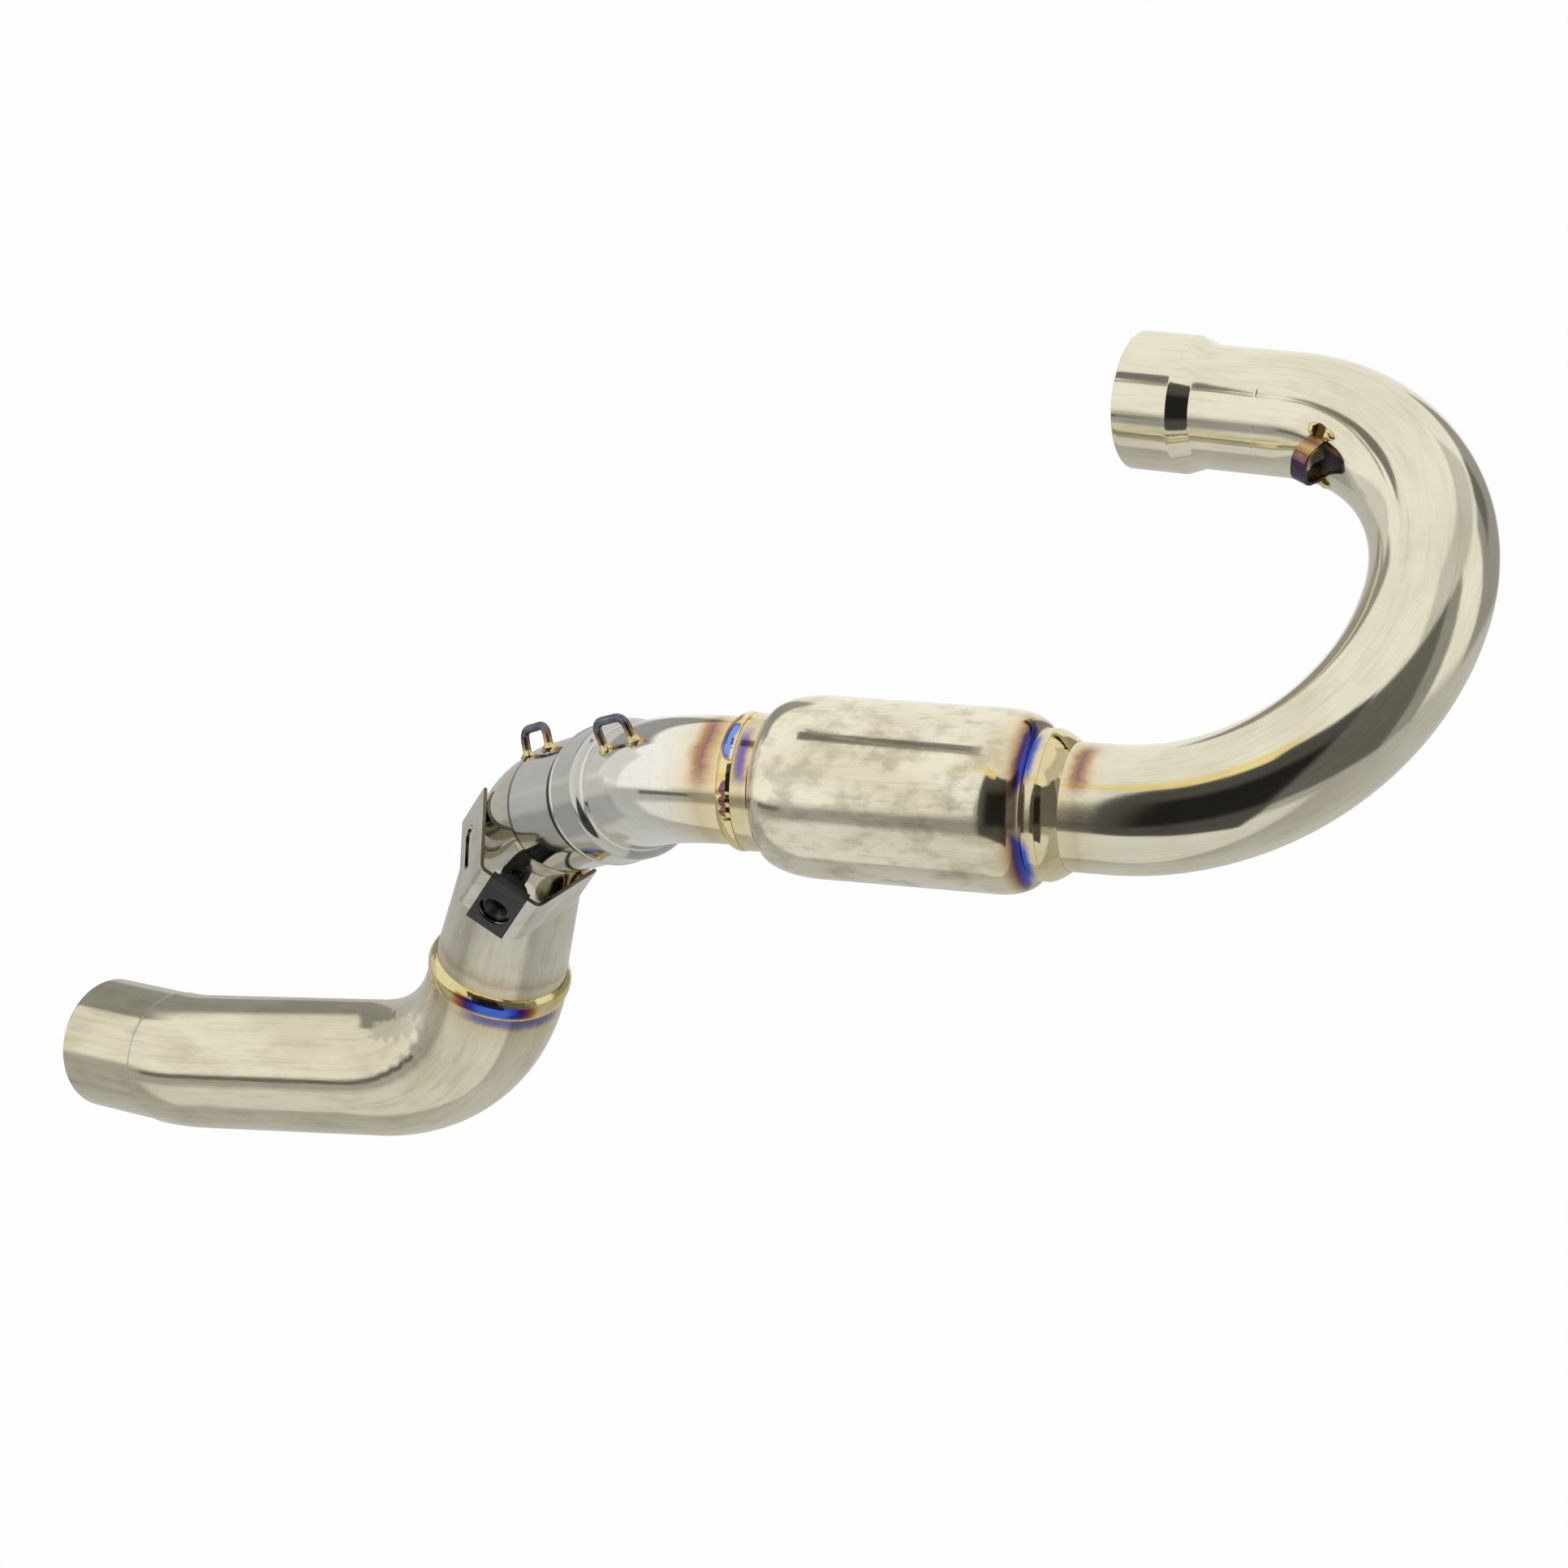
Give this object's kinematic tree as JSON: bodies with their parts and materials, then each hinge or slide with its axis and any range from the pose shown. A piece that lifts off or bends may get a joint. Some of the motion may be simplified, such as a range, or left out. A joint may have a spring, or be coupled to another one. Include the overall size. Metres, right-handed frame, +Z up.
{
  "type": "motorcycle exhaust header",
  "caption": "Stainless motorcycle exhaust header: a U-bent head pipe with a resonance bulb, a slip joint with spring hooks, and a mid pipe with a bolt bracket.",
  "frame": {"origin": "centre of the inlet socket's mouth", "axes": "+X forward, the way the gas leaves the cylinder head; +Y left; +Z up, as fitted on the motorcycle"},
  "size_m": [0.5608, 0.174, 0.3347],
  "materials": {
    "satin_stainless": "satin brushed along the pipe, with heat tint beside the welds",
    "polished_stainless": "near-mirror polish",
    "weld_steel": "bright bead tinted gold, brown and blue",
    "hook_steel": "heat-darkened wire and strap",
    "black_clip": "matt black phosphate",
    "black_nut": "matt black phosphate"
  },
  "bodies": {
    "head_pipe": {"head_pipe": "satin_stainless", "resonance_bulb": "satin_stainless", "link_pipe": "polished_stainless", "bulb_inlet_weld": "weld_steel", "bulb_outlet_weld": "weld_steel", "strap_hook": "hook_steel", "strap_hook_weld_upper": "weld_steel", "strap_hook_weld_lower": "weld_steel", "sleeve_hook": "hook_steel", "sleeve_hook_weld_front": "weld_steel", "sleeve_hook_weld_rear": "weld_steel"},
    "mid_pipe": {"mid_pipe": "satin_stainless", "slip_collar": "polished_stainless", "tail_pipe": "satin_stainless", "mid_weld": "weld_steel", "collar_hook": "hook_steel", "collar_hook_weld_front": "weld_steel", "collar_hook_weld_rear": "weld_steel", "mount_bracket": "polished_stainless", "bracket_weld_near": "weld_steel", "bracket_weld_far": "weld_steel", "nut_clip": "black_clip", "clip_nut": "black_nut"}
  },
  "joints": [
    {"name": "slip_swivel", "type": "hinge", "parent": "head_pipe", "child": "mid_pipe", "pos_m": [-0.14433, -0.10313, -0.13229], "axis": [-0.7974, 0.49, -0.3522], "continuous": true}
  ]
}
